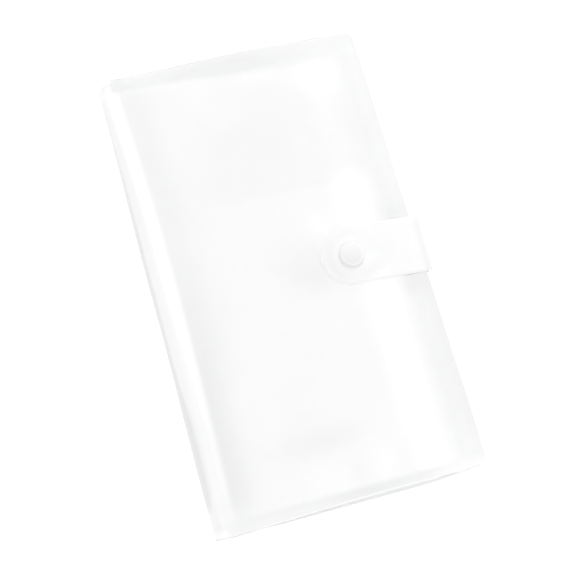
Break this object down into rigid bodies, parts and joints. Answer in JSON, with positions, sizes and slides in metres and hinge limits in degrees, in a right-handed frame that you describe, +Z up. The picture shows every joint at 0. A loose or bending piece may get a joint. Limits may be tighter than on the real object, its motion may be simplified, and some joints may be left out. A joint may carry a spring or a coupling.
{
  "type": "business card book",
  "caption": "Closed frosted plastic book of clear card pockets, with a rolled spine and a round-tipped strap that wraps the fore edge and snaps onto the front cover.",
  "frame": {"origin": "middle of the underside of the box round the closed book, on the table that it lies on", "axes": "+X from the spine to the fore edge, +Y from the foot to the head along the book's height, +Z up, out of the front cover"},
  "size_m": [0.1202, 0.195, 0.0166],
  "materials": {
    "cover_sheet": "frosted translucent polypropylene sheet",
    "strap_sheet": "frosted translucent polypropylene sheet",
    "leaf_film": "clear polypropylene film, slightly hazy",
    "binding_weld": "fused milky polypropylene",
    "snap_plastic": "white moulded plastic, satin"
  },
  "bodies": {
    "back_cover": {"back_cover": "cover_sheet"},
    "spine_lower": {"spine_lower": "cover_sheet", "lower_binding_bar": "binding_weld"},
    "spine_back": {"spine_back": "cover_sheet"},
    "spine_upper": {"spine_upper": "cover_sheet", "upper_binding_bar": "binding_weld"},
    "front_cover": {"front_cover": "cover_sheet", "snap_stud": "snap_plastic", "snap_stud_cap": "snap_plastic"},
    "strap_side": {"strap_side": "strap_sheet"},
    "strap_arm": {"strap_arm": "strap_sheet", "snap_cap": "snap_plastic", "snap_socket": "snap_plastic"},
    "leaf_01": {"leaf_01_sheet": "leaf_film", "leaf_01_pockets": "leaf_film"},
    "leaf_02": {"leaf_02_sheet": "leaf_film", "leaf_02_pockets": "leaf_film"},
    "leaf_03": {"leaf_03_sheet": "leaf_film", "leaf_03_pockets": "leaf_film"},
    "leaf_04": {"leaf_04_sheet": "leaf_film", "leaf_04_pockets": "leaf_film"},
    "leaf_05": {"leaf_05_sheet": "leaf_film", "leaf_05_pockets": "leaf_film"},
    "leaf_06": {"leaf_06_sheet": "leaf_film", "leaf_06_pockets": "leaf_film"},
    "leaf_07": {"leaf_07_sheet": "leaf_film", "leaf_07_pockets": "leaf_film"},
    "leaf_08": {"leaf_08_sheet": "leaf_film", "leaf_08_pockets": "leaf_film"},
    "leaf_09": {"leaf_09_sheet": "leaf_film", "leaf_09_pockets": "leaf_film"},
    "leaf_10": {"leaf_10_sheet": "leaf_film", "leaf_10_pockets": "leaf_film"}
  },
  "joints": [
    {"name": "back_crease", "type": "hinge", "parent": "back_cover", "child": "spine_lower", "pos_m": [-0.05346, 0, 0.0004], "axis": [0, -1, 0], "range_deg": [0, 30]},
    {"name": "spine_fold", "type": "hinge", "parent": "spine_lower", "child": "spine_back", "pos_m": [-0.0597, 0, 0.004], "axis": [0, -1, 0], "range_deg": [0, 60]},
    {"name": "spine_upper_fold", "type": "hinge", "parent": "spine_back", "child": "spine_upper", "pos_m": [-0.0597, 0, 0.0073], "axis": [0, -1, 0], "range_deg": [0, 60]},
    {"name": "front_crease", "type": "hinge", "parent": "spine_upper", "child": "front_cover", "pos_m": [-0.05346, 0, 0.0109], "axis": [0, -1, 0], "range_deg": [0, 28]},
    {"name": "leaf_01_turn", "type": "hinge", "parent": "spine_lower", "child": "leaf_01", "pos_m": [-0.05406, 0, 0.0019], "axis": [0, -1, 0], "range_deg": [-29.5, 0]},
    {"name": "leaf_02_turn", "type": "hinge", "parent": "spine_lower", "child": "leaf_02", "pos_m": [-0.05406, 0, 0.0027], "axis": [0, -1, 0], "range_deg": [-29, 0]},
    {"name": "leaf_03_turn", "type": "hinge", "parent": "spine_lower", "child": "leaf_03", "pos_m": [-0.05406, 0, 0.0035], "axis": [0, -1, 0], "range_deg": [-28.5, 0]},
    {"name": "leaf_04_turn", "type": "hinge", "parent": "spine_lower", "child": "leaf_04", "pos_m": [-0.05406, 0, 0.0043], "axis": [0, -1, 0], "range_deg": [-28, 0]},
    {"name": "leaf_05_turn", "type": "hinge", "parent": "spine_lower", "child": "leaf_05", "pos_m": [-0.05406, 0, 0.0051], "axis": [0, -1, 0], "range_deg": [-27.5, 0]},
    {"name": "leaf_06_turn", "type": "hinge", "parent": "spine_upper", "child": "leaf_06", "pos_m": [-0.05406, 0, 0.0062], "axis": [0, -1, 0], "range_deg": [0, 25.5]},
    {"name": "leaf_07_turn", "type": "hinge", "parent": "spine_upper", "child": "leaf_07", "pos_m": [-0.05406, 0, 0.007], "axis": [0, -1, 0], "range_deg": [0, 26]},
    {"name": "leaf_08_turn", "type": "hinge", "parent": "spine_upper", "child": "leaf_08", "pos_m": [-0.05406, 0, 0.0078], "axis": [0, -1, 0], "range_deg": [0, 26.5]},
    {"name": "leaf_09_turn", "type": "hinge", "parent": "spine_upper", "child": "leaf_09", "pos_m": [-0.05406, 0, 0.0086], "axis": [0, -1, 0], "range_deg": [0, 27]},
    {"name": "leaf_10_turn", "type": "hinge", "parent": "spine_upper", "child": "leaf_10", "pos_m": [-0.05406, 0, 0.0094], "axis": [0, -1, 0], "range_deg": [0, 27.5]},
    {"name": "strap_lower_fold", "type": "hinge", "parent": "back_cover", "child": "strap_side", "pos_m": [0.05898, -0.00199, 0.0004], "axis": [0.0576, 0.9983, 0], "range_deg": [0, 90]},
    {"name": "strap_upper_fold", "type": "hinge", "parent": "strap_side", "child": "strap_arm", "pos_m": [0.05898, -0.00199, 0.01415], "axis": [0.0576, 0.9983, 0], "range_deg": [0, 85]}
  ],
  "couplings": [
    {"joint": "spine_fold", "follows": "back_crease", "ratio": 2},
    {"joint": "spine_upper_fold", "follows": "back_crease", "ratio": 2},
    {"joint": "front_crease", "follows": "back_crease", "ratio": 0.93333},
    {"joint": "leaf_01_turn", "follows": "back_crease", "ratio": -0.98333},
    {"joint": "leaf_02_turn", "follows": "back_crease", "ratio": -0.96666},
    {"joint": "leaf_03_turn", "follows": "back_crease", "ratio": -0.95},
    {"joint": "leaf_04_turn", "follows": "back_crease", "ratio": -0.93333},
    {"joint": "leaf_05_turn", "follows": "back_crease", "ratio": -0.91666},
    {"joint": "leaf_06_turn", "follows": "back_crease", "ratio": 0.85},
    {"joint": "leaf_07_turn", "follows": "back_crease", "ratio": 0.86666},
    {"joint": "leaf_08_turn", "follows": "back_crease", "ratio": 0.88333},
    {"joint": "leaf_09_turn", "follows": "back_crease", "ratio": 0.9},
    {"joint": "leaf_10_turn", "follows": "back_crease", "ratio": 0.91666},
    {"joint": "strap_upper_fold", "follows": "strap_lower_fold", "ratio": 0.94444}
  ]
}
